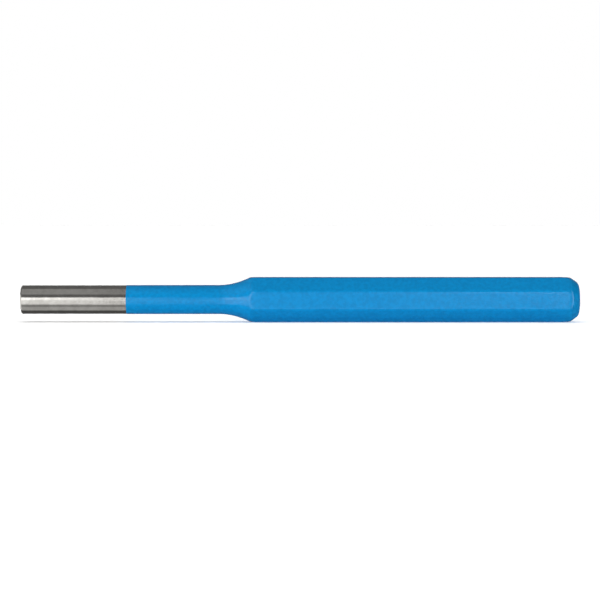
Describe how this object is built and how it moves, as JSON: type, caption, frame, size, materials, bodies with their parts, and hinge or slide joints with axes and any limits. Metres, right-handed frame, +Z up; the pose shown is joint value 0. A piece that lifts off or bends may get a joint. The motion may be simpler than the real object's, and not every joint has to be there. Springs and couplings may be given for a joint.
{
  "type": "pin punch",
  "caption": "Octagonal steel pin punch: straight round driving pin, hollow-turned shoulder, bevelled striking head, and a blue lacquer film that leaves the end of the pin bare.",
  "frame": {"origin": "centre of the punch's outline on the surface that it rests on, under the middle of its length", "axes": "+X along the punch towards its striking head, so the driving tip points to -X; +Z up, away from the resting flat; +Y completes the frame"},
  "size_m": [0.15, 0.012, 0.012],
  "materials": {
    "bare_steel": "hardened tool steel, ground along its length and polished",
    "blue_lacquer": "semi-gloss lacquer with a faint orange peel"
  },
  "bodies": {
    "root": {"steel_punch": "bare_steel", "lacquer_coat": "blue_lacquer"}
  },
  "joints": []
}
